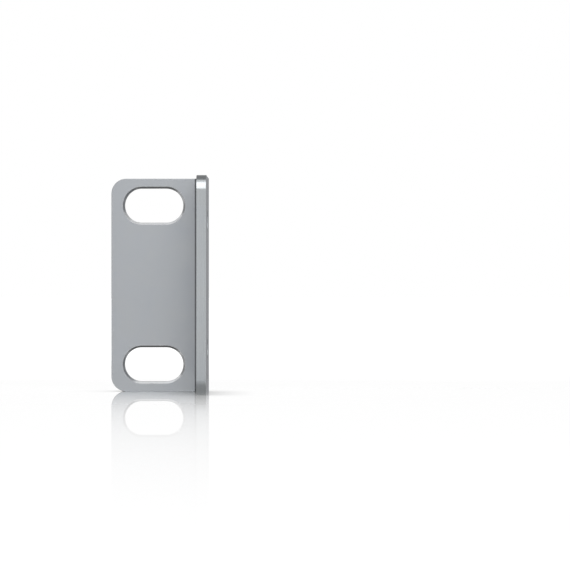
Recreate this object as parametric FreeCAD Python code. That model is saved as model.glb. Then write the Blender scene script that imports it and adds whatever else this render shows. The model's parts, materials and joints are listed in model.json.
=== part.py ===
import FreeCAD, Part

import math
import os

from FreeCAD import Vector

# A left rack mount ear: one blank of sheet steel, punched, countersunk and folded once.
# The slotted plate stands across the front of the rack, and the flange runs back along the
# side of the device that it carries.
# Origin: middle of the slot pattern, on the face of the plate that seats on the rack rail.
# +X points to the device, -Y points back into the rack, +Z is up. All sizes are millimetres.

# Sheet and fold
sheet_thickness = 1.9
bend_inner_radius = 1.0

# Plate, across the front of the rack
slot_centre_to_outer_edge = 8.51
slot_centre_to_device_face = 10.99
plate_corner_radius = 3.0

# Flange, along the side of the device
flange_reach = 20.9
flange_corner_radius = 3.0

# Slots for the rack screws
slot_pitch = 31.75
slot_length = 11.7
slot_width = 6.8
slot_rim_width = 0.38
slot_rim_depth = 0.27
slot_centre_to_end = 5.375

# Countersunk holes for the device screws
screw_pitch = 25.0
screw_hole_diameter = 4.3
screw_head_diameter = 7.5
screw_head_angle = 90.0
screw_setback = 10.5

# Places that follow from the sizes
ear_height = slot_pitch + 2 * slot_centre_to_end
outer_edge_x = -slot_centre_to_outer_edge
device_face_x = slot_centre_to_device_face
flange_inner_x = device_face_x - sheet_thickness
front_face_y = sheet_thickness
free_edge_y = -flange_reach
bend_outer_radius = bend_inner_radius + sheet_thickness
overcut = 1.0


def bend_arc(centre_x, centre_y, radius):
    """Quarter circle of the fold, from the side facing the front to the side facing the device."""
    middle = radius * math.sqrt(0.5)
    return Part.Arc(
        Vector(centre_x, centre_y + radius, 0),
        Vector(centre_x + middle, centre_y + middle, 0),
        Vector(centre_x + radius, centre_y, 0),
    ).toShape()


def folded_section():
    """Section of the folded sheet seen from above: plate, bend and flange in one closed outline."""
    bend_x = flange_inner_x - bend_inner_radius
    bend_y = -bend_inner_radius
    outer_arc = bend_arc(bend_x, bend_y, bend_outer_radius)
    inner_arc = bend_arc(bend_x, bend_y, bend_inner_radius)
    straight_runs = [
        (Vector(outer_edge_x, front_face_y, 0), Vector(bend_x, front_face_y, 0)),
        (Vector(device_face_x, bend_y, 0), Vector(device_face_x, free_edge_y, 0)),
        (Vector(device_face_x, free_edge_y, 0), Vector(flange_inner_x, free_edge_y, 0)),
        (Vector(flange_inner_x, free_edge_y, 0), Vector(flange_inner_x, bend_y, 0)),
        (Vector(bend_x, 0, 0), Vector(outer_edge_x, 0, 0)),
        (Vector(outer_edge_x, 0, 0), Vector(outer_edge_x, front_face_y, 0)),
    ]
    edges = [Part.makeLine(start, end) for start, end in straight_runs]
    outline = Part.Wire(Part.__sortEdges__(edges + [outer_arc, inner_arc]))
    return Part.Face(outline)


def folded_sheet():
    """The section carried up the height of the ear, about its middle."""
    section = folded_section()
    section.translate(Vector(0, 0, -ear_height / 2))
    return section.extrude(Vector(0, 0, ear_height))


def corner_edges(solid, x=None, y=None):
    """Edges through the sheet at the top and bottom of one free side, at the given x or y."""
    found = []
    for edge in solid.Edges:
        middle = edge.CenterOfMass
        at_end = abs(abs(middle.z) - ear_height / 2) < 1e-6
        on_side = abs(middle.x - x) < 1e-6 if x is not None else abs(middle.y - y) < 1e-6
        if at_end and on_side:
            found.append(edge)
    return found


def round_free_corners(solid):
    """The plate's two outer corners and the flange's two free corners."""
    plate_corners = corner_edges(solid, x=outer_edge_x)
    solid = solid.makeFillet(plate_corner_radius, plate_corners)
    flange_corners = corner_edges(solid, y=free_edge_y)
    return solid.makeFillet(flange_corner_radius, flange_corners)


def obround(length, width, y, centre_z):
    """Closed outline of a slot lying along X in the plane at y: two straights and two half circles."""
    radius = width / 2
    end_x = length / 2 - radius
    top_z = centre_z + radius
    bottom_z = centre_z - radius
    right_end = Part.Arc(
        Vector(end_x, y, top_z), Vector(end_x + radius, y, centre_z), Vector(end_x, y, bottom_z)
    )
    left_end = Part.Arc(
        Vector(-end_x, y, bottom_z), Vector(-end_x - radius, y, centre_z), Vector(-end_x, y, top_z)
    )
    top = Part.makeLine(Vector(-end_x, y, top_z), Vector(end_x, y, top_z))
    bottom = Part.makeLine(Vector(end_x, y, bottom_z), Vector(-end_x, y, bottom_z))
    return Part.Wire([top, right_end.toShape(), bottom, left_end.toShape()])


def slot_rim_cutter(face_y, outward, centre_z):
    """Flared ring that bevels a slot's rim where it meets the face at face_y."""
    grow = 2 * slot_rim_width * (1 + overcut / slot_rim_depth)
    wide = obround(slot_length + grow, slot_width + grow, face_y + outward * overcut, centre_z)
    narrow = obround(slot_length, slot_width, face_y - outward * slot_rim_depth, centre_z)
    return Part.makeLoft([wide, narrow], True, True)


def rack_slot_cutter(centre_z):
    """One slot for a rack screw: straight walls, with a bevelled rim on both faces of the plate."""
    through = Part.Face(obround(slot_length, slot_width, -overcut, centre_z))
    walls = through.extrude(Vector(0, sheet_thickness + 2 * overcut, 0))
    rack_side = slot_rim_cutter(0, -1, centre_z)
    front_side = slot_rim_cutter(front_face_y, 1, centre_z)
    return walls.multiFuse([rack_side, front_side])


def device_screw_cutter(centre_z):
    """One hole for a flat head screw, with its countersink on the side away from the device."""
    axis = Vector(1, 0, 0)
    hole_radius = screw_hole_diameter / 2
    head_radius = screw_head_diameter / 2
    spread = math.tan(math.radians(screw_head_angle / 2))
    start = Vector(flange_inner_x - overcut, -screw_setback, centre_z)
    hole = Part.makeCylinder(hole_radius, sheet_thickness + 2 * overcut, start, axis)
    sink_depth = (head_radius - hole_radius) / spread + overcut
    sink = Part.makeCone(head_radius + overcut * spread, hole_radius, sink_depth, start, axis)
    return hole.fuse(sink)


def ear_bracket():
    """The finished ear: folded, corners rounded, slots and screw holes cut."""
    solid = round_free_corners(folded_sheet())
    cutters = [rack_slot_cutter(side * slot_pitch / 2) for side in (-1, 1)]
    cutters += [device_screw_cutter(side * screw_pitch / 2) for side in (-1, 1)]
    return solid.cut(cutters).removeSplitter()


def save(node, shape):
    """Write one node's solid to parts/NODE.step, after reporting its size."""
    solid = shape.Solids[0]
    box = solid.BoundBox
    print(f"{node}: {len(shape.Solids)} solid, valid {solid.isValid()}, {solid.Volume:.1f} mm3")
    print(f"  {box.XLength:.2f} x {box.YLength:.2f} x {box.ZLength:.2f} mm")
    solid.exportStep(os.path.join("parts", node + ".step"))


os.makedirs("parts", exist_ok=True)
save("ear_bracket", ear_bracket())
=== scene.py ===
import json
import logging
import math
from dataclasses import dataclass, field
from enum import Enum

import bpy
import numpy as np
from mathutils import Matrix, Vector


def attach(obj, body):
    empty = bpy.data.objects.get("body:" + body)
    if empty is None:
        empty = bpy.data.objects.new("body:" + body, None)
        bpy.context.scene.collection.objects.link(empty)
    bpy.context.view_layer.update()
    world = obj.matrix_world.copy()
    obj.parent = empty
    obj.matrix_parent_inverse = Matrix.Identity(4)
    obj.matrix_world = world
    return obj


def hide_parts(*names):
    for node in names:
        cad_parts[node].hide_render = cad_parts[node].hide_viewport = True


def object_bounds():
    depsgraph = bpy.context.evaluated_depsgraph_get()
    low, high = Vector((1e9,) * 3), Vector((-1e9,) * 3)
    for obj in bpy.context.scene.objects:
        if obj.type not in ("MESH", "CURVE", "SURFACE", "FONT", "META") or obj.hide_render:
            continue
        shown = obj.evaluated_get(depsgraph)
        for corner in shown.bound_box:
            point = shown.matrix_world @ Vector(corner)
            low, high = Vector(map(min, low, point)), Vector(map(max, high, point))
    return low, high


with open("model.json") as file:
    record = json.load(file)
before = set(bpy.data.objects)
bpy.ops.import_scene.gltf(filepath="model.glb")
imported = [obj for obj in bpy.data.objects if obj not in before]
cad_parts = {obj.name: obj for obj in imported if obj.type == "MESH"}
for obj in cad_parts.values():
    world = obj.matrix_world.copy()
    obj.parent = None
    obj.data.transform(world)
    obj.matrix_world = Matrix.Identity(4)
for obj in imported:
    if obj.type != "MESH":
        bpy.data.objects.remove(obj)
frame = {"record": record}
cad_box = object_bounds()

# The looks of a folded sheet steel rack ear. Everything is in metres, in the part's own frame:
# +X to the device, +Y out of the front of the rack, +Z up.

LOG = logging.getLogger("ear_bracket")
NODE = "ear_bracket"
BODY = "root"
MILLIMETRE = 0.001
QUARTER_TURN = math.pi / 2
WELD_GRID = 1e-8
LEAST_DIVISOR = 1e-12

# The sockets that a Mix node has for colours
MIX_FIRST, MIX_SECOND, MIX_RESULT = 6, 7, 2

Pair = tuple[float, float]
Triple = tuple[float, float, float]
Value = float | bpy.types.NodeSocket


def mount_size(mount: str, size: str) -> float:
    """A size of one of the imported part's mounts, in metres.

    Args:
        mount: The mount's name.
        size: The size's name there, which ends in _mm.

    Returns:
        The size in metres.
    """
    found = next(m for m in frame["record"]["mounts"] if m["name"] == mount)
    return found["dims"][size] * MILLIMETRE


class Region(Enum):
    """The kinds of surface on the ear, numbered as its material slots are."""

    SHEET_FACE = 0
    CUT_EDGE = 1
    PRESSED_RIM = 2


class SheetSide(Enum):
    """The two faces of the sheet, by the sign of their direction through it."""

    RACK = -1
    FRONT = 1


@dataclass(frozen=True)
class Patch:
    """A grid of the ear's surface, laid out on the flat blank.

    The last axis of place and outward is along the blank, up it, and through the sheet from its
    rack face. texture is the grid's place on the UV map, and edge is 1 on a rounded edge.
    """

    place: np.ndarray
    outward: np.ndarray
    texture: np.ndarray
    edge: np.ndarray
    region: Region

    def mirrored(self) -> "Patch":
        """The same patch on the lower half of the blank: what pointed up points down."""
        flip = np.array([1.0, -1.0, 1.0])
        return Patch(self.place * flip, self.outward * flip, self.texture, self.edge, self.region)


@dataclass(frozen=True)
class Loop:
    """Points along an outline on the flat blank, each with its direction out of the material."""

    points: np.ndarray
    outward: np.ndarray

    def inset(self, depth: float) -> np.ndarray:
        """Points moved into the material by depth, square to the outline."""
        return self.points - depth * self.outward

    def joined(self, other: "Loop") -> "Loop":
        """This loop and then the other, whose first point is this one's last."""
        points = np.concatenate([self.points, other.points[1:]])
        return Loop(points, np.concatenate([self.outward, other.outward[1:]]))

    @classmethod
    def line(cls, start: Pair, end: Pair, steps: int) -> "Loop":
        """A straight run with the material on its right: point = start + share of the way.

        Args:
            start: Its first point.
            end: Its last point.
            steps: Number of runs.

        Returns:
            The run's points, each pointing square to it, to the left.
        """
        share = np.linspace(0.0, 1.0, steps + 1)[:, None]
        start_point, way = np.array(start), np.subtract(end, start)
        outward = np.array([-way[1], way[0]]) / np.hypot(*way)
        return cls(start_point + share * way, np.broadcast_to(outward, (steps + 1, 2)))

    @classmethod
    def arc(cls, centre: Pair, radius: float, turn: Pair, steps: int) -> "Loop":
        """A rounded corner: point = centre + radius x (cosine, sine) of an angle.

        Args:
            centre: Middle of the corner's circle.
            radius: The circle's radius.
            turn: First and last angle, from the direction along the blank.
            steps: Number of runs.

        Returns:
            The corner's points, each pointing away from the centre.
        """
        angle = np.linspace(*turn, steps + 1)
        outward = np.stack([np.cos(angle), np.sin(angle)], axis=-1)
        return cls(np.array(centre) + radius * outward, outward)


@dataclass(frozen=True)
class RoundedSlot:
    """A hole with two straight sides and round ends. A round hole has no straight."""

    centre: Pair
    radius: float
    half_straight: float = 0.0

    def facing(self, targets: np.ndarray) -> Loop:
        """The hole's outline, with one point in the direction of each target.

        From the middle, a ray at angle a meets a straight side at radius / |sin a|. Where that
        is past the straight, it meets the end's circle at h |cos a| + sqrt(r2 - h2 sin2 a), with
        h the half straight and r the radius.

        Args:
            targets: Points round the hole, one row each.

        Returns:
            The outline's points, each pointing into the hole.
        """
        ray = targets - np.array(self.centre)
        ray = ray / np.linalg.norm(ray, axis=1, keepdims=True)
        across, rise = np.abs(ray[:, 0]), np.maximum(np.abs(ray[:, 1]), LEAST_DIVISOR)
        h = self.half_straight
        to_side = self.radius / rise
        to_end = h * across + np.sqrt(np.maximum(self.radius**2 - (h * rise) ** 2, 0.0))
        reach = np.where(to_side * across <= h, to_side, to_end)
        point = ray * reach[:, None]
        core = np.stack([np.clip(point[:, 0], -h, h), np.zeros(len(point))], axis=-1)
        return Loop(np.array(self.centre) + point, (core - point) / self.radius)


@dataclass(frozen=True)
class RimSection:
    """The section of an edge, from the sheet's rack face round to its front face.

    The last axis is depth into the material from the outline, and level above the rack face.
    """

    points: np.ndarray
    outward: np.ndarray
    edge: np.ndarray

    def reach(self, side: SheetSide) -> float:
        """How far the section goes into one of the sheet's faces."""
        return self.points[0 if side is SheetSide.RACK else -1, 0]

    @classmethod
    def rounded(cls, corners: list[Pair], radius: float, steps: int = 6) -> "RimSection":
        """Straight runs between the corners, each inner corner rounded by an arc.

        An arc's centre lies radius / cos(half the turn) inside its corner, and its points are
        centre + radius x the direction, which turns evenly from one run's to the next's.

        Args:
            corners: (depth, level) of each corner, the ends included.
            radius: Radius at each inner corner.
            steps: Runs in each arc.

        Returns:
            The section, with no two points in the same place.
        """
        corner = np.array(corners)
        run = np.diff(corner, axis=0)
        run = run / np.linalg.norm(run, axis=1, keepdims=True)
        out = np.stack([-run[:, 1], run[:, 0]], axis=1)
        points, outward, edge = [corner[:1]], [out[:1]], [np.zeros(1)]
        share = np.linspace(0.0, 1.0, steps + 1)
        for place, before, after in zip(corner[1:-1], out[:-1], out[1:]):
            turn = math.atan2(before[0] * after[1] - before[1] * after[0], before @ after)
            cosine, sine = np.cos(share * turn), np.sin(share * turn)
            across = np.array([-before[1], before[0]])
            direction = cosine[:, None] * before + sine[:, None] * across
            middle = (before + after) / np.linalg.norm(before + after)
            centre = place - radius / math.cos(turn / 2) * middle
            points.append(centre + radius * direction)
            outward.append(direction)
            edge.append(np.sin(share * math.pi))
        points.append(corner[-1:])
        outward.append(out[-1:])
        edge.append(np.zeros(1))
        line, normal, rounding = (np.concatenate(part) for part in (points, outward, edge))
        apart = np.linalg.norm(np.diff(line, axis=0), axis=1) > WELD_GRID
        keep = np.concatenate([[True], apart])
        return cls(line[keep], normal[keep], rounding[keep])


def upright_line(along: float, up: np.ndarray) -> np.ndarray:
    """Points at one place along the blank: (along, up) of each."""
    return np.stack([np.full(len(up), along), up], axis=-1)


def level_line(along: np.ndarray, up: float) -> np.ndarray:
    """Points at one height on the blank: (along, up) of each."""
    return np.stack([along, np.full(len(along), up)], axis=-1)


def block(along: np.ndarray, up: np.ndarray) -> np.ndarray:
    """A rectangular grid on the blank: every place along with every height."""
    return np.stack(np.meshgrid(along, up, indexing="ij"), axis=-1)


def length_along(points: np.ndarray) -> np.ndarray:
    """Length from the first point to each point of a line."""
    steps = np.linalg.norm(np.diff(points, axis=0), axis=1)
    return np.concatenate([[0.0], np.cumsum(steps)])


@dataclass(frozen=True)
class FoldedBlank:
    """The flat blank and the one fold that makes it an ear."""

    outer_edge: float
    plate_run: float
    flange_run: float
    bend_radius: float
    thickness: float
    half_height: float
    blend_share: float = 1 / 30

    @property
    def bend_run(self) -> float:
        """Length of the bend along the middle of the sheet: a quarter turn of its radius."""
        return QUARTER_TURN * (self.bend_radius + self.thickness / 2)

    @property
    def flange_start(self) -> float:
        """Place along the blank where the flange's flat begins."""
        return self.plate_run + self.bend_run

    @property
    def length(self) -> float:
        """The whole blank, from the plate's free edge to the flange's."""
        return self.flange_start + self.flange_run

    def turn(self, along: np.ndarray) -> np.ndarray:
        """How far the sheet has turned there: none on the plate, a quarter on the flange."""
        return np.clip((along - self.plate_run) / self.bend_run, 0.0, 1.0) * QUARTER_TURN

    def inner_bend(self, place: np.ndarray) -> np.ndarray:
        """How far each place is in the bend's inner corner.

        It rises to 1 over the blend's share of the bend, falls again over the same share at its
        other end, and falls from 1 on the rack face to 0 on the front face. The finishes darken
        the crease by it as painted shade, and smooth it.

        Args:
            place: (along, up, through) in the last axis.

        Returns:
            0 to 1 for each place.
        """
        share = self.turn(place[..., 0]) / QUARTER_TURN
        in_bend = np.clip(np.minimum(share, 1.0 - share) / self.blend_share, 0.0, 1.0)
        return in_bend * (1.0 - place[..., 2] / self.thickness)

    def fold(self, place: np.ndarray) -> np.ndarray:
        """Places on the blank, folded.

        The sheet turns about the bend's axis at a reach of bend radius + level. The axis line
        stops at the plate's end in X, and the flange's straight carries on from it in -Y.

        Args:
            place: (along, up, through) in the last axis.

        Returns:
            (X, Y, Z) in the last axis.
        """
        along, up, through = np.moveaxis(place, -1, 0)
        turn = self.turn(along)
        reach = self.bend_radius + through
        straight = np.maximum(along - self.flange_start, 0.0)
        x = self.outer_edge + np.minimum(along, self.plate_run) + reach * np.sin(turn)
        y = reach * np.cos(turn) - self.bend_radius - straight
        return np.stack([x, y, up], axis=-1)

    def fold_directions(self, place: np.ndarray, outward: np.ndarray) -> np.ndarray:
        """Directions on the blank, turned with the sheet.

        Along and through turn by as much as the sheet has turned there, and up stays.

        Args:
            place: (along, up, through) in the last axis.
            outward: The direction at each place, in the same axes.

        Returns:
            The directions as (X, Y, Z) in the last axis.
        """
        along, up, through = np.moveaxis(outward, -1, 0)
        turn = self.turn(place[..., 0])
        x = along * np.cos(turn) + through * np.sin(turn)
        y = through * np.cos(turn) - along * np.sin(turn)
        return np.stack([x, y, up], axis=-1)


@dataclass
class EarSheet:
    """The ear itself: one blank with two slots and two countersunk holes, folded once.

    The sizes from middle_height to bend_steps only lay out its mesh: the height above which the
    plate and the flange are each a collar round a hole, the run of a face, and numbers of runs.
    """

    name: str = "folded_ear"
    bend_radius: float = 0.001
    plate_corner: float = 0.003
    flange_corner: float = 0.003
    slot_rim: float = 0.00038
    slot_rim_depth: float = 0.00027
    edge_rounding: float = 0.00006
    screw_head_radius: float = 0.00375
    screw_setback: float = 0.0105
    middle_height: float = 0.005
    step: float = 0.0005
    collar_rows: int = 8
    corner_steps: int = 20
    bend_steps: int = 20
    thickness: float = field(init=False)
    blank: FoldedBlank = field(init=False)
    rack_slot: RoundedSlot = field(init=False)
    screw_radius: float = field(init=False)
    screw_hole: RoundedSlot = field(init=False)

    def __post_init__(self) -> None:
        """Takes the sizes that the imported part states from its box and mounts."""
        low, high = cad_box
        self.thickness = high.y
        self.blank = FoldedBlank(
            outer_edge=low.x,
            plate_run=high.x - self.thickness - self.bend_radius - low.x,
            flange_run=-low.y - self.bend_radius,
            bend_radius=self.bend_radius,
            thickness=self.thickness,
            half_height=high.z,
        )
        slot_radius = mount_size("rack_slots", "hole_r_mm")
        slot_length = mount_size("rack_slots", "slot_length_mm")
        self.rack_slot = RoundedSlot(
            centre=(-low.x, mount_size("rack_slots", "spacing_y_mm") / 2),
            radius=slot_radius,
            half_straight=slot_length / 2 - slot_radius,
        )
        self.screw_radius = mount_size("device_screws", "hole_r_mm")
        setback = self.screw_setback - self.bend_radius
        self.screw_hole = RoundedSlot(
            centre=(self.blank.flange_start + setback,
                    mount_size("device_screws", "spacing_y_mm") / 2),
            radius=self.screw_radius,
        )

    def steps(self, length: float) -> int:
        """Number of runs that keeps each near the mesh's step."""
        return max(1, round(length / self.step))

    def ticks(self, start: float, end: float) -> np.ndarray:
        """Places from start to end, near a step apart."""
        return np.linspace(start, end, self.steps(abs(end - start)) + 1)

    def face(self, flat: np.ndarray, side: SheetSide) -> Patch:
        """A grid on one of the sheet's faces: level 0 is the rack face, and the front is proud.

        Args:
            flat: (along, up) in the last axis.
            side: Which face the grid lies on.

        Returns:
            The patch, whose texture is its place on the blank.
        """
        level = self.thickness if side is SheetSide.FRONT else 0.0
        place = np.concatenate([flat, np.full(flat.shape[:2] + (1,), level)], axis=-1)
        outward = np.zeros(place.shape)
        outward[..., 2] = side.value
        return Patch(place, outward, flat, np.zeros(flat.shape[:2]), Region.SHEET_FACE)

    def rim(self, loop: Loop, section: RimSection, region: Region = Region.CUT_EDGE) -> Patch:
        """An edge of the sheet: the section carried along the loop.

        A point is the loop's point less depth x the loop's direction, at the section's level.

        Args:
            loop: The outline that the edge follows.
            section: The edge's form, from the rack face to the front face.
            region: The kind of surface that it is.

        Returns:
            The patch, whose texture is length along the loop and round the section.
        """
        shape = (len(loop.points), len(section.points), 1)
        direction = loop.outward[:, None, :]
        depth, level = section.points[None, :, :1], section.points[None, :, 1:]
        out_depth, out_level = section.outward[None, :, :1], section.outward[None, :, 1:]
        flat = loop.points[:, None, :] - depth * direction
        place = np.concatenate([flat, np.broadcast_to(level, shape)], axis=-1)
        outward = [-out_depth * direction, np.broadcast_to(out_level, shape)]
        run, round_it = length_along(loop.points), length_along(section.points)
        texture = np.stack(np.meshgrid(run, round_it, indexing="ij"), axis=-1)
        edge = np.broadcast_to(section.edge, shape[:2])
        return Patch(place, np.concatenate(outward, axis=-1), texture, edge, region)

    def plate_edges(self) -> tuple[Loop, Loop]:
        """The plate's free edge and top, in two runs that part at the middle height.

        Returns:
            The free edge up to that height, and the run on from it, over the corner to the bend.
        """
        top, corner = self.blank.half_height, self.plate_corner
        middle = self.middle_height
        low_side = Loop.line((0.0, 0.0), (0.0, middle), self.steps(middle))
        side = Loop.line((0.0, middle), (0.0, top - corner), self.steps(top - corner - middle))
        turn = (2 * QUARTER_TURN, QUARTER_TURN)
        arc = Loop.arc((corner, top - corner), corner, turn, self.corner_steps)
        run = self.blank.plate_run
        over = Loop.line((corner, top), (run, top), self.steps(run - corner))
        return low_side, side.joined(arc).joined(over)

    def flange_edges(self) -> tuple[Loop, Loop]:
        """The flange's top and free edge, in two runs that part at the middle height.

        Returns:
            The run from the bend, over the corner to that height, and the free edge below it.
        """
        top, corner = self.blank.half_height, self.flange_corner
        start, end, middle = self.blank.flange_start, self.blank.length, self.middle_height
        over = Loop.line((start, top), (end - corner, top), self.steps(end - corner - start))
        arc = Loop.arc((end - corner, top - corner), corner, (QUARTER_TURN, 0.0),
                       self.corner_steps)
        side = Loop.line((end, top - corner), (end, middle), self.steps(top - corner - middle))
        low_side = Loop.line((end, middle), (end, 0.0), self.steps(middle))
        return over.joined(arc).joined(side), low_side

    def collar(self, hole: RoundedSlot, boundary: np.ndarray, depth: float,
               side: SheetSide) -> Patch:
        """The face between a hole and a closed boundary: straight rays from one to the other.

        Args:
            hole: The hole in the middle.
            boundary: Closed line round it, on the blank.
            depth: How far the hole's rim reaches into the face.
            side: Which face of the sheet it is.

        Returns:
            The patch.
        """
        inner = hole.facing(boundary).inset(depth)
        share = np.linspace(0.0, 1.0, self.collar_rows + 1)[:, None, None]
        return self.face(inner + share * (boundary - inner), side)

    def slot_section(self) -> RimSection:
        """A slot's wall, with the bevel of its pressed rim at either face.

        Returns:
            The section.
        """
        inset, front = self.edge_rounding, self.thickness
        rim, depth = self.slot_rim, self.slot_rim_depth
        corners = [(rim + inset, 0.0), (rim, 0.0), (0.0, depth),
                   (0.0, front - depth), (rim, front), (rim + inset, front)]
        return RimSection.rounded(corners, inset)

    def screw_section(self) -> RimSection:
        """A screw hole's wall, with its countersink on the rack face, as deep as it is wide.

        Returns:
            The section.
        """
        inset, front = self.edge_rounding, self.thickness
        sink = self.screw_head_radius - self.screw_radius
        corners = [(sink + inset, 0.0), (sink, 0.0), (0.0, sink), (0.0, front), (inset, front)]
        return RimSection.rounded(corners, inset)

    def outline_section(self) -> RimSection:
        """The cut edge round the blank, square to its faces.

        Returns:
            The section.
        """
        inset, front = self.edge_rounding, self.thickness
        return RimSection.rounded([(inset, 0.0), (0.0, 0.0), (0.0, front), (inset, front)], inset)

    def sheet_patches(self) -> list[Patch]:
        """Every patch of the blank's upper half: both faces, then the edges and hole rims.

        Returns:
            The patches, laid out on the flat blank.
        """
        blank, inset, middle = self.blank, self.edge_rounding, self.middle_height
        top, start, end = blank.half_height, blank.flange_start, blank.length - inset
        seam, low_rows = self.ticks(top - inset, middle), self.ticks(middle, 0.0)
        plate_columns = self.ticks(blank.plate_run, inset)
        flange_columns = self.ticks(start, end)
        bend_columns = np.linspace(blank.plate_run, start, self.bend_steps + 1)
        bend_rows = np.concatenate([seam, low_rows[1:]])
        plate_low, plate_edge = self.plate_edges()
        flange_edge, flange_low = self.flange_edges()
        plate_boundary = np.concatenate([
            plate_edge.inset(inset),
            upright_line(blank.plate_run, seam)[1:],
            level_line(plate_columns, middle)[1:],
        ])
        flange_boundary = np.concatenate([
            flange_edge.inset(inset),
            level_line(flange_columns[::-1], middle)[1:],
            upright_line(start, seam[::-1])[1:],
        ])
        slot_section, screw_section = self.slot_section(), self.screw_section()
        patches = []
        for side in SheetSide:
            patches += [
                self.collar(self.rack_slot, plate_boundary, slot_section.reach(side), side),
                self.collar(self.screw_hole, flange_boundary, screw_section.reach(side), side),
                self.face(block(plate_columns, low_rows), side),
                self.face(block(flange_columns, low_rows), side),
                self.face(block(bend_columns, bend_rows), side),
            ]
        bend_top = Loop.line((blank.plate_run, top), (start, top), self.bend_steps)
        outline = [plate_low, plate_edge, bend_top, flange_edge, flange_low]
        patches += [self.rim(loop, self.outline_section()) for loop in outline]
        slot_loop = self.rack_slot.facing(plate_boundary)
        patches.append(self.rim(slot_loop, slot_section, Region.PRESSED_RIM))
        patches.append(self.rim(self.screw_hole.facing(flange_boundary), screw_section))
        return patches

    def build(self, finishes: dict[Region, bpy.types.Material]) -> bpy.types.Object:
        """Makes the ear and dresses it.

        Args:
            finishes: The material of each region.

        Returns:
            The finished piece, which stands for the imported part's node.
        """
        upper = self.sheet_patches()
        piece = welded(self.name, upper + [patch.mirrored() for patch in upper], self.blank)
        for region in Region:
            piece.data.materials.append(finishes[region])
        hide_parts(NODE)
        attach(piece, BODY)
        return piece


def welded(name: str, patches: list[Patch], blank: FoldedBlank) -> bpy.types.Object:
    """One closed mesh of all patches, folded.

    Points that share a place become one, with the mean of their directions. A face whose own
    direction is against its points' is turned over.

    Args:
        name: The piece's name.
        patches: Grids on the flat blank.
        blank: The fold.

    Returns:
        The piece, in the scene, with its UV map and its edge and fold attributes.
    """
    place, outward, texture, edge, fold, corners, region = [], [], [], [], [], [], []
    count = 0
    for patch in patches:
        rows, columns = patch.place.shape[:2]
        place.append(blank.fold(patch.place).reshape(-1, 3))
        outward.append(blank.fold_directions(patch.place, patch.outward).reshape(-1, 3))
        texture.append(patch.texture.reshape(-1, 2))
        edge.append(patch.edge.reshape(-1))
        fold.append(blank.inner_bend(patch.place).reshape(-1))
        number = np.arange(rows * columns).reshape(rows, columns) + count
        quads = [number[:-1, :-1], number[1:, :-1], number[1:, 1:], number[:-1, 1:]]
        corners.append(np.stack(quads, axis=-1).reshape(-1, 4))
        region.append(np.full(len(corners[-1]), patch.region.value))
        count += rows * columns
    points, normals, uv, rounding, bending, quads, slots = (
        np.concatenate(part) for part in (place, outward, texture, edge, fold, corners, region))

    # A face's own direction is the cross product of its diagonals.
    sides = points[quads[:, 2]] - points[quads[:, 0]], points[quads[:, 3]] - points[quads[:, 1]]
    against = (np.cross(*sides) * normals[quads].sum(axis=1)).sum(axis=1) < 0
    quads[against] = quads[against][:, ::-1]

    # Points in the same cell of a fine grid are one point.
    _, first, member = np.unique(np.round(points / WELD_GRID).astype(np.int64), axis=0,
                                 return_index=True, return_inverse=True)
    member = member.reshape(-1)
    merged = np.zeros((len(first), 3))
    np.add.at(merged, member, normals)
    merged /= np.linalg.norm(merged, axis=1, keepdims=True)

    mesh = bpy.data.meshes.new(name)
    mesh.from_pydata(points[first].tolist(), [], member[quads].tolist())
    mesh.polygons.foreach_set("use_smooth", np.ones(len(quads), dtype=bool))
    mesh.polygons.foreach_set("material_index", slots.astype(np.int32))
    layer = mesh.uv_layers.new(name="blank")
    layer.data.foreach_set("uv", uv[quads].astype(np.float32).ravel())
    for label, share in (("edge", rounding), ("fold", bending)):
        attribute = mesh.attributes.new(label, "FLOAT", "POINT")
        attribute.data.foreach_set("value", share[first].astype(np.float32))
    mesh.normals_split_custom_set_from_vertices(merged.tolist())
    mesh.update()
    return placed(name, mesh)


def placed(name: str, data: bpy.types.ID) -> bpy.types.Object:
    """A new object in the scene, at the origin.

    Args:
        name: The object's name.
        data: Its mesh, lamp or camera.

    Returns:
        The object.
    """
    made = bpy.data.objects.new(name, data)
    bpy.context.scene.collection.objects.link(made)
    return made


class Graph:
    """Short ways to add nodes to a tree and join them."""

    def __init__(self, tree: bpy.types.NodeTree) -> None:
        """Starts from the tree as it is."""
        self.tree = tree

    def node(self, kind: str, inputs: dict[str | int, object] | None = None,
             **settings: object) -> bpy.types.Node:
        """A new node.

        Args:
            kind: The node's type, without its ShaderNode prefix.
            inputs: A value or a socket for each input, by name or number.
            settings: Properties of the node.

        Returns:
            The node.
        """
        made = self.tree.nodes.new("ShaderNode" + kind)
        for key, value in settings.items():
            setattr(made, key, value)
        for key, value in (inputs or {}).items():
            if isinstance(value, bpy.types.NodeSocket):
                self.tree.links.new(value, made.inputs[key])
            else:
                made.inputs[key].default_value = value
        return made

    def maths(self, operation: str, *values: Value) -> bpy.types.NodeSocket:
        """The result of one sum, by the Math node's operation."""
        return self.node("Math", dict(enumerate(values)), operation=operation).outputs[0]

    def remap(self, value: Value, source: Pair, target: Pair) -> bpy.types.NodeSocket:
        """The value carried evenly from one range to another, and held within the second.

        Args:
            value: What to carry.
            source: Start and end of the first range.
            target: What the start and the end become.

        Returns:
            The carried value.
        """
        names = ("From Min", "From Max", "To Min", "To Max")
        inputs = {"Value": value, **dict(zip(names, source + target))}
        return self.node("MapRange", inputs).outputs["Result"]


def bare_graph(made: bpy.types.Material | bpy.types.World) -> Graph:
    """Empties the shader tree of a new material or world.

    Args:
        made: The material or world.

    Returns:
        A graph on its tree.
    """
    made.use_nodes = True
    made.node_tree.nodes.clear()
    return Graph(made.node_tree)


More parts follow.
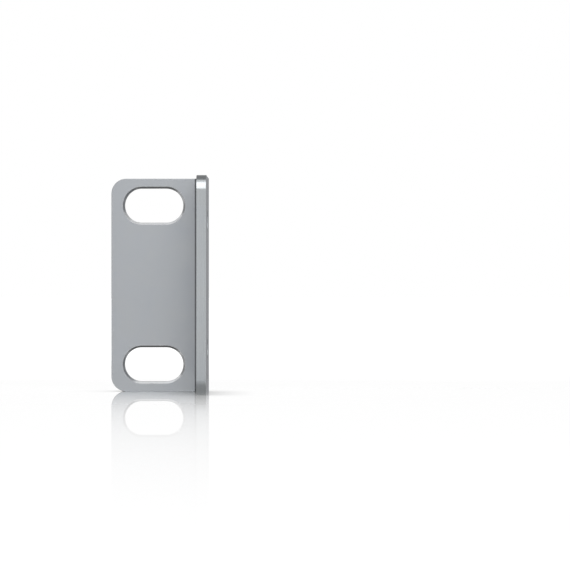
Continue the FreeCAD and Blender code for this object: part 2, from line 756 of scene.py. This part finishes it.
class GroupGraph(Graph):
    """A new shader group with named inputs and one output, and the graph inside it."""

    def __init__(self, name: str, inputs: dict[str, float | Triple], output: str) -> None:
        """Makes the group and its sockets.

        Args:
            name: The group's name.
            inputs: Each input with its default: a number, or three for a vector.
            output: Name of the output, a plain number.
        """
        super().__init__(bpy.data.node_groups.new(name, "ShaderNodeTree"))
        for label, default in inputs.items():
            kind = "NodeSocketFloat" if isinstance(default, float) else "NodeSocketVector"
            socket = self.tree.interface.new_socket(label, in_out="INPUT", socket_type=kind)
            socket.default_value = default
        self.tree.interface.new_socket(output, in_out="OUTPUT", socket_type="NodeSocketFloat")
        self.inputs = self.tree.nodes.new("NodeGroupInput").outputs
        self.output = output

    def finish(self, result: bpy.types.NodeSocket) -> bpy.types.NodeTree:
        """Gives the group its output.

        Args:
            result: What the group puts out.

        Returns:
            The finished group.
        """
        target = self.tree.nodes.new("NodeGroupOutput")
        self.tree.links.new(result, target.inputs[self.output])
        return self.tree


# The grain's finer noise, against its coarser one
FINE_GRAIN_SCALE, FINE_GRAIN_HEIGHT = 3.0, 0.33
# The part of the noise that the plating's clouds take, from none to full
BLOOM_RANGE = (0.3, 0.7)
# The part of the noise that breaks up the polish, and how much polish it leaves
BREAK_RANGE, BREAK_SHARE = (0.35, 0.6), (0.3, 1.0)


def grain_group() -> bpy.types.NodeTree:
    """Fine grain of rolled and plated steel, drawn out along one way.

    Height is two noises added: one at the scale, drawn out by Draw, and a rounder one at three
    times the scale and a third of the height.

    Returns:
        The group.
    """
    group = GroupGraph("rolled_grain", {"Vector": (0.0, 0.0, 0.0), "Draw": (1.0, 1.0, 1.0),
                                        "Scale": 9000.0}, "Height")
    place, draw, scale = (group.inputs[label] for label in ("Vector", "Draw", "Scale"))
    drawn = group.node("VectorMath", {0: place, 1: draw}, operation="MULTIPLY").outputs[0]
    coarse = group.node("TexNoise", {"Vector": drawn, "Scale": scale, "Detail": 3.0,
                                     "Roughness": 0.6}).outputs[0]
    finer = group.maths("MULTIPLY", scale, FINE_GRAIN_SCALE)
    fine = group.node("TexNoise", {"Vector": place, "Scale": finer, "Detail": 2.0}).outputs[0]
    return group.finish(group.maths("MULTIPLY_ADD", fine, FINE_GRAIN_HEIGHT, coarse))


def bloom_group() -> bpy.types.NodeTree:
    """Soft clouds that the plating bath leaves: Mask is 0 to 1, mostly near a half.

    Returns:
        The group.
    """
    group = GroupGraph("plating_bloom", {"Vector": (0.0, 0.0, 0.0), "Scale": 220.0}, "Mask")
    cloud = group.node("TexNoise", {"Vector": group.inputs["Vector"], "Detail": 2.0,
                                    "Scale": group.inputs["Scale"], "Distortion": 0.4})
    return group.finish(group.remap(cloud.outputs[0], BLOOM_RANGE, (0.0, 1.0)))


def polish_group() -> bpy.types.NodeTree:
    """Where handling has polished an edge: Mask is Edge, broken up by noise at the scale.

    Returns:
        The group.
    """
    group = GroupGraph("edge_polish", {"Vector": (0.0, 0.0, 0.0), "Edge": 0.0, "Scale": 900.0},
                       "Mask")
    breaks = group.node("TexNoise", {"Vector": group.inputs["Vector"], "Detail": 3.0,
                                     "Scale": group.inputs["Scale"]}).outputs[0]
    left = group.remap(breaks, BREAK_RANGE, BREAK_SHARE)
    return group.finish(group.maths("MULTIPLY", group.inputs["Edge"], left))


@dataclass(frozen=True)
class EffectGroups:
    """The shader groups that the finishes share."""

    grain: bpy.types.NodeTree
    bloom: bpy.types.NodeTree
    polish: bpy.types.NodeTree


@dataclass(frozen=True)
class SatinZinc:
    """Satin zinc plate on steel.

    Bloom mixes the two tints and shifts the roughness. Polish lightens and smooths a rounded
    edge, fold smooths the bend's inner corner and darkens it with painted shade in the
    crease, and lines run along a cut edge.
    Scales are grains to the metre, and grain_height is in metres.
    """

    name: str
    warm_tint: Triple = (0.398, 0.414, 0.431)
    cool_tint: Triple = (0.391, 0.409, 0.434)
    polish_gain: float = 0.06
    roughness: float = 0.40
    bloom_roughness: float = 0.02
    polish_roughness: float = 0.06
    fold_roughness: float = 0.06
    # Painted shade: how much the crease in the bend's inner corner is darkened, where shade falls
    crease_painted_shade: float = 0.54
    bloom_scale: float = 240.0
    grain_scale: float = 7000.0
    grain_draw: Triple = (1.0, 0.25, 1.0)
    grain_height: float = 0.000004
    grain_strength: float = 0.25
    line_depth: float = 0.0
    line_range: Pair = (0.4, 0.95)
    line_scale: float = 2500.0
    line_draw: Triple = (0.01, 1.0, 1.0)

    def material(self, groups: EffectGroups) -> bpy.types.Material:
        """The finish as a metal whose colour, roughness and height vary finely.

        Args:
            groups: The shared effects.

        Returns:
            The material.
        """
        made = bpy.data.materials.new(self.name)
        graph = bare_graph(made)
        place = graph.node("TexCoord")
        on_piece, on_blank = place.outputs["Object"], place.outputs["UV"]

        def effect(tree: bpy.types.NodeTree, inputs: dict[str, object]) -> bpy.types.NodeSocket:
            """A shared effect with this finish's values."""
            return graph.node("Group", inputs, node_tree=tree).outputs[0]

        bloom = effect(groups.bloom, {"Vector": on_piece, "Scale": self.bloom_scale})
        edge = graph.node("Attribute", attribute_name="edge").outputs["Fac"]
        polish = effect(groups.polish, {"Vector": on_piece, "Edge": edge})
        grain = effect(groups.grain, {"Vector": on_blank, "Draw": self.grain_draw,
                                      "Scale": self.grain_scale})
        tints = {MIX_FIRST: (*self.warm_tint, 1.0), MIX_SECOND: (*self.cool_tint, 1.0)}
        tint = graph.node("Mix", {"Factor": bloom, **tints}, data_type="RGBA").outputs[MIX_RESULT]
        # Painted shade: the fold attribute darkens the bend's inner crease, where its shade falls
        fold = graph.node("Attribute", attribute_name="fold").outputs["Fac"]
        shade = graph.maths("MULTIPLY_ADD", fold, -self.crease_painted_shade, 1.0)
        gain = graph.maths("MULTIPLY_ADD", polish, self.polish_gain, shade)
        if self.line_depth > 0.0:
            lines = effect(groups.grain, {"Vector": on_blank, "Draw": self.line_draw,
                                          "Scale": self.line_scale})
            depths = (1.0 - self.line_depth, 1.0 + self.line_depth)
            lined = graph.remap(lines, self.line_range, depths)
            gain = graph.maths("MULTIPLY", gain, lined)
        colour = graph.node("VectorMath", {0: tint, "Scale": gain}, operation="SCALE").outputs[0]
        low, high = self.roughness - self.bloom_roughness, self.roughness + self.bloom_roughness
        satin = graph.remap(bloom, (0.0, 1.0), (low, high))
        rubbed = graph.maths("MULTIPLY_ADD", polish, -self.polish_roughness, satin)
        rough = graph.maths("MULTIPLY_ADD", fold, -self.fold_roughness, rubbed)
        bump = graph.node("Bump", {"Height": grain, "Distance": self.grain_height,
                                   "Strength": self.grain_strength}).outputs[0]
        metal = graph.node("BsdfPrincipled", {"Base Color": colour, "Roughness": rough,
                                              "Metallic": 1.0, "Normal": bump})
        graph.node("OutputMaterial", {"Surface": metal.outputs[0]})
        return made


# Light Path's depths are whole numbers: this one tells the first reflection from the later ones
AFTER_FIRST = 1.5


def slant(graph: Graph) -> bpy.types.NodeSocket:
    """1 - the cosine of the angle that the surface is seen at: nought where it faces the ray."""
    return graph.node("LayerWeight").outputs["Facing"]


def white_ray(graph: Graph) -> bpy.types.NodeSocket:
    """Which rays show the white backdrop: the camera's, and those by way of a gloss or a glass.

    Args:
        graph: The tree that asks.

    Returns:
        1 for such a ray, and 0 for any other.
    """
    path = graph.node("LightPath").outputs
    seen = graph.maths("MAXIMUM", path["Is Camera Ray"], path["Is Glossy Ray"])
    return graph.maths("MAXIMUM", seen, path["Is Transmission Ray"])


@dataclass(frozen=True)
class GreyCard:
    """A studio card that only satin reflections see, as a grey of the given level.

    As the slant goes through its range, a card with a square_level goes from that to its level,
    and one that clears goes see-through, so that the floor under it shows instead. second_pass
    is the share of the ear's second reflections that pass the card.
    """

    name: str
    corner: Triple
    across: Triple
    upward: Triple
    level: float
    square_level: float | None = None
    slant_range: Pair = (0.3, 1.1)
    clears: bool = False
    second_pass: float = 0.45

    @classmethod
    def standing(cls, name: str, foot: float, radius: float, azimuths: Pair,
                 height: float, level: float) -> "GreyCard":
        """An upright card beside the ear.

        Its ends are at radius x (-sine, -cosine) of the azimuths, which go from the front, -Y,
        to the left, -X.

        Args:
            name: The card's name.
            foot: Height of the card's lower edge.
            radius: Distance of both ends from the origin.
            azimuths: Where it starts and ends, in degrees.
            height: The card's own height.
            level: Its grey.

        Returns:
            The card.
        """
        angle = np.radians(azimuths)
        x, y = -radius * np.sin(angle), -radius * np.cos(angle)
        return cls(name, (x[0], y[0], foot), (x[1] - x[0], y[1] - y[0], 0.0),
                   (0.0, 0.0, height), level)

    def build(self) -> bpy.types.Object:
        """The card as a flat quad: point = corner + a share of across + a share of upward.

        Returns:
            The card, hidden from the camera, diffuse light, glass and shadows.
        """
        share_across, share_up = np.array([0, 1, 1, 0]), np.array([0, 0, 1, 1])
        points = (np.array(self.corner) + share_across[:, None] * np.array(self.across)
                  + share_up[:, None] * np.array(self.upward))
        mesh = bpy.data.meshes.new(self.name)
        mesh.from_pydata(points.tolist(), [], [(0, 1, 2, 3)])
        mesh.materials.append(self.material())
        card = placed(self.name, mesh)
        card.visible_camera = False
        card.visible_diffuse = False
        card.visible_transmission = False
        card.visible_shadow = False
        return card

    def material(self) -> bpy.types.Material:
        """A grey that the camera doesn't see in the floor's polish.

        A mirror-sharp ray passes the card, unless it comes from the ear by way of the floor. Of
        the satin rays, those from the ear's second reflection pass it in part.

        Returns:
            The material.
        """
        made = bpy.data.materials.new(self.name)
        graph = bare_graph(made)
        made.cycles.emission_sampling = "NONE"
        grey = graph.node("Emission", {"Strength": self.level})
        clear = graph.node("BsdfTransparent")
        path = graph.node("LightPath").outputs
        first_bounce = graph.maths("LESS_THAN", path["Glossy Depth"], AFTER_FIRST)
        sharp = path["Is Singular Ray"]
        again = graph.maths("SUBTRACT", 1.0, graph.maths("MAXIMUM", sharp, first_bounce))
        passes = graph.maths("MULTIPLY_ADD", again, self.second_pass,
                             graph.maths("MULTIPLY", sharp, first_bounce))
        if self.square_level is not None:
            levels = (self.square_level, self.level)
            strength = graph.remap(slant(graph), self.slant_range, levels)
            graph.tree.links.new(strength, grey.inputs["Strength"])
        if self.clears:
            clearing = graph.remap(slant(graph), self.slant_range, (0.0, 1.0))
            passes = graph.maths("MAXIMUM", passes, clearing)
        mixed = graph.node("MixShader", {0: passes, 1: grey.outputs[0], 2: clear.outputs[0]})
        graph.node("OutputMaterial", {"Surface": mixed.outputs[0]})
        return made


@dataclass(frozen=True)
class PolishedFloor:
    """A plain white floor, whose polish mirrors the ear and fades with distance from it.

    low and high are the corners of what stands on it. Its base has near_glow inside the box from
    plain_low to plain_high, and whitens between two distances from that box.
    """

    height: float
    low: Pair
    high: Pair
    first_ring: float = 0.01
    reach: float = 4.0
    rings: int = 24
    spokes: int = 48
    near_glow: float = 0.755
    whiteness: float = 0.3
    plain_low: Pair = (-0.25, -0.26)
    plain_high: Pair = (0.25, 0.0)
    plain_from: float = 0.05
    plain_to: float = 0.25
    polish_reach: float = 0.080
    slant_range: Pair = (0.2, 0.75)
    slant_share: Pair = (0.25, 1.0)
    shade_reach: float = 0.010
    shade_strength: float = 0.6
    shade_samples: int = 16

    def build(self) -> bpy.types.Object:
        """The floor as a disc: its middle, then rings that each grow by the same factor.

        Returns:
            The floor.
        """
        ring = np.concatenate([[0.0], np.geomspace(self.first_ring, self.reach, self.rings)])
        angle = np.linspace(0.0, 4 * QUARTER_TURN, self.spokes + 1)[:-1]
        x = ring[:, None] * np.cos(angle)
        y = ring[:, None] * np.sin(angle)
        points = np.stack([x, y, np.full(x.shape, self.height)], axis=-1).reshape(-1, 3)
        number = np.arange(points.shape[0]).reshape(len(ring), self.spokes)
        after = np.roll(number, -1, axis=1)
        quads = np.stack([number[1:-1], number[2:], after[2:], after[1:-1]], axis=-1)
        middle = np.stack([np.zeros_like(number[1]), number[1], after[1]], axis=-1)
        mesh = bpy.data.meshes.new("polished_floor")
        faces = middle.tolist() + quads.reshape(-1, 4).tolist()
        mesh.from_pydata(points.tolist(), [], faces)
        mesh.materials.append(self.material())
        floor = placed("polished_floor", mesh)
        return floor

    def distance(self, graph: Graph, low: Pair, high: Pair) -> bpy.types.NodeSocket:
        """Distance on the floor from a box, nought inside it.

        It is the root of the sum of the squares of two gaps: along each axis, how far the place
        is from the box's middle, less half the box's side, and at least nought.

        Args:
            graph: The floor's tree.
            low: The box's lowest corner.
            high: Its highest corner.

        Returns:
            The distance.
        """
        place = graph.node("SeparateXYZ", {0: graph.node("TexCoord").outputs["Object"]}).outputs
        gaps = []
        for axis in range(2):
            middle = (low[axis] + high[axis]) / 2
            half = (high[axis] - low[axis]) / 2
            offset = graph.maths("ABSOLUTE", graph.maths("SUBTRACT", place[axis], middle))
            gap = graph.maths("MAXIMUM", graph.maths("SUBTRACT", offset, half), 0.0)
            gaps.append(graph.maths("MULTIPLY", gap, gap))
        return graph.maths("SQRT", graph.maths("ADD", *gaps))

    def polish(self, graph: Graph, distance: bpy.types.NodeSocket) -> bpy.types.NodeSocket:
        """Share of mirror: e to the power of -distance / reach, and less from above.

        Args:
            graph: The floor's tree.
            distance: Distance from the ear.

        Returns:
            0 to 1.
        """
        share = graph.maths("EXPONENT", graph.maths("DIVIDE", distance, -self.polish_reach))
        seen = graph.remap(slant(graph), self.slant_range, self.slant_share)
        return graph.maths("MULTIPLY", share, seen)

    def material(self) -> bpy.types.Material:
        """White that glows for the backdrop's rays, takes shadow near the ear, and mirrors it.

        Returns:
            The material.
        """
        made = bpy.data.materials.new("polished_white")
        graph = bare_graph(made)
        made.cycles.emission_sampling = "NONE"
        distance = self.distance(graph, self.low, self.high)
        beyond = self.distance(graph, self.plain_low, self.plain_high)
        plain = graph.remap(beyond, (self.plain_from, self.plain_to), (self.near_glow, 1.0))
        strength = graph.maths("MULTIPLY", plain, white_ray(graph))
        glow = graph.node("Emission", {"Strength": strength})
        colour = (self.whiteness, self.whiteness, self.whiteness, 1.0)
        matt = graph.node("BsdfDiffuse", {"Color": colour})
        base = graph.node("AddShader", {0: glow.outputs[0], 1: matt.outputs[0]})
        shade = graph.node("AmbientOcclusion", {"Distance": self.shade_reach},
                           samples=self.shade_samples)
        from_camera = graph.node("LightPath").outputs["Is Camera Ray"]
        depth = graph.maths("MULTIPLY", from_camera, self.shade_strength)
        kept = graph.maths("POWER", shade.outputs["AO"], depth)
        tint = graph.node("CombineXYZ", {0: kept, 1: kept, 2: kept}).outputs[0]
        mirror = graph.node("BsdfAnisotropic", {"Color": tint, "Roughness": 0.0})
        mixed = graph.node("MixShader", {0: self.polish(graph, distance), 1: base.outputs[0],
                                         2: mirror.outputs[0]})
        graph.node("OutputMaterial", {"Surface": mixed.outputs[0]})
        return made


@dataclass(frozen=True)
class Softbox:
    """A large soft lamp in front of the ear and above it, aimed at it. Angles are in degrees."""

    name: str
    elevation: float
    azimuth: float
    distance: float
    width: float
    height: float
    power: float

    def build(self, target: Vector) -> bpy.types.Object:
        """The lamp on a sphere about the target: azimuth nought is in front, in -Y.

        Args:
            target: The point that it is aimed at.

        Returns:
            The lamp.
        """
        rise, round_it = math.radians(self.elevation), math.radians(self.azimuth)
        level = self.distance * math.cos(rise)
        offset = Vector((level * math.sin(round_it), -level * math.cos(round_it),
                         self.distance * math.sin(rise)))
        light = bpy.data.lights.new(self.name, "AREA")
        light.shape = "RECTANGLE"
        light.size, light.size_y = self.width, self.height
        light.energy = self.power
        lamp = placed(self.name, light)
        lamp.location = target + offset
        lamp.rotation_euler = offset.to_track_quat("Z", "Y").to_euler()
        lamp.visible_camera = False
        return lamp


@dataclass(frozen=True)
class Studio:
    """The plain pale studio: a white world, a softbox, grey cards and the floor."""

    sky: float = 0.5
    ceiling: float = 0.36
    behind: float = 0.40
    half_width: float = 0.45
    radius: float = 0.35
    card_gap: float = 0.0001

    def cards(self, floor_height: float) -> list[GreyCard]:
        """The cards that shape the satin reflections.

        Args:
            floor_height: Height of the floor.

        Returns:
            Three cards above and behind, then three upright ones from the front round to the
            left, and last three that lie on the floor as painted shade of the floor near the ear.
        """
        ceiling, behind, half_width = self.ceiling, self.behind, self.half_width
        on_floor = floor_height + self.card_gap
        over_that = on_floor + self.card_gap
        return [
            GreyCard("overhead_card", corner=(-half_width, -0.04, ceiling),
                     across=(2 * half_width, 0, 0), upward=(0, behind + 0.04, 0), level=0.40),
            GreyCard("crown_card", corner=(-0.36, -0.14, ceiling), across=(0.39, 0, 0),
                     upward=(0, 0.095, 0), level=1.4),
            GreyCard("back_card", corner=(-half_width, behind, floor_height),
                     across=(2 * half_width, 0, 0), upward=(0, 0, ceiling - floor_height),
                     level=0.41),
            GreyCard.standing("dark_card", floor_height, self.radius, azimuths=(10.5, 50.0),
                              height=0.30, level=0.06),
            GreyCard.standing("left_card", floor_height, self.radius, azimuths=(50.0, 100.0),
                              height=0.20, level=0.50),
            GreyCard.standing("flank_card", floor_height + 0.20, self.radius,
                              azimuths=(42.0, 85.0), height=0.18, level=1.5),
            # Painted shade: the three cards on the floor stand in for the floor's shade near the
            # ear, as only the satin reflections see it
            GreyCard("floor_painted_shade_card", corner=(-0.10, -0.06, on_floor), across=(0.20, 0, 0),
                     upward=(0, 0.08, 0), level=0.20, slant_range=(0.2, 0.4), clears=True),
            GreyCard("foot_painted_shade_card", corner=(0.002, -0.075, over_that), across=(0.0097, 0, 0),
                     upward=(0, 0.061, 0), level=1.0, square_level=0.5),
            GreyCard("side_painted_shade_card", corner=(0.0108, 0.02, over_that), across=(0.19, 0, 0),
                     upward=(0, behind - 0.02, 0), level=0.35),
        ]

    def build(self) -> None:
        """Makes the world, the lamp, the cards and the floor."""
        low, high = cad_box
        self.world()
        middle = (low + high) / 2
        box = Softbox("key_softbox", elevation=40.5, azimuth=0.0, distance=1.5, width=1.7,
                      height=1.43, power=12.8)
        LOG.info("lamp %s", box.build(middle).name)
        for card in self.cards(low.z):
            LOG.info("card %s at level %.2f", card.build().name, card.level)
        floor = PolishedFloor(low.z, (low.x, 0.0), (high.x, high.y))
        LOG.info("floor %s", floor.build().name)

    def world(self) -> None:
        """White for the backdrop's rays, and the sky's plain level for all other light."""
        made = bpy.data.worlds.new("white_studio")
        bpy.context.scene.world = made
        graph = bare_graph(made)
        made.cycles.sampling_method = "NONE"
        level = graph.remap(white_ray(graph), (0.0, 1.0), (self.sky, 1.0))
        glow = graph.node("Background", {"Color": (1.0, 1.0, 1.0, 1.0), "Strength": level})
        graph.node("OutputWorld", {"Surface": glow.outputs[0]})


@dataclass(frozen=True)
class Viewpoint:
    """The camera, level with the ear's middle and square to its plate."""

    place: Triple = (0.02618, -0.550, 0.0)
    nearest: float = 0.01
    focal_pixels: float = 2752.0
    frame_pixels: float = 570.0
    sensor: float = 36.0

    def build(self) -> bpy.types.Object:
        """The camera, whose lens is the sensor's width x focal length / frame, in pixels.

        Returns:
            The camera, which the scene then renders from.
        """
        data = bpy.data.cameras.new("level_view")
        data.sensor_width = self.sensor
        data.lens = self.sensor * self.focal_pixels / self.frame_pixels
        data.clip_start = self.nearest
        camera = placed("level_view", data)
        camera.location = self.place
        camera.rotation_euler = (QUARTER_TURN, 0.0, 0.0)
        bpy.context.scene.camera = camera
        return camera


def main() -> None:
    """Builds the ear, the studio and the camera, and reports each."""
    logging.basicConfig(level=logging.INFO, format="%(message)s")
    bpy.context.scene.view_settings.view_transform = "Standard"
    groups = EffectGroups(grain_group(), bloom_group(), polish_group())
    finishes = {
        Region.SHEET_FACE: SatinZinc("satin_zinc_face").material(groups),
        Region.CUT_EDGE: SatinZinc(
            "satin_zinc_edge", warm_tint=(0.398, 0.416, 0.425), cool_tint=(0.390, 0.412, 0.430),
            roughness=0.24, grain_scale=9000.0, grain_draw=(0.1, 1.0, 1.0), line_depth=0.06,
        ).material(groups),
        Region.PRESSED_RIM: SatinZinc(
            "satin_zinc_rim", warm_tint=(0.419, 0.425, 0.430), cool_tint=(0.412, 0.421, 0.432),
            roughness=0.24, grain_scale=9000.0, grain_draw=(0.1, 1.0, 1.0),
        ).material(groups),
    }
    ear = EarSheet().build(finishes)
    LOG.info("%s: %d faces", ear.name, len(ear.data.polygons))
    Studio().build()
    LOG.info("camera %s", Viewpoint().build().name)


if __name__ == "__main__":
    main()
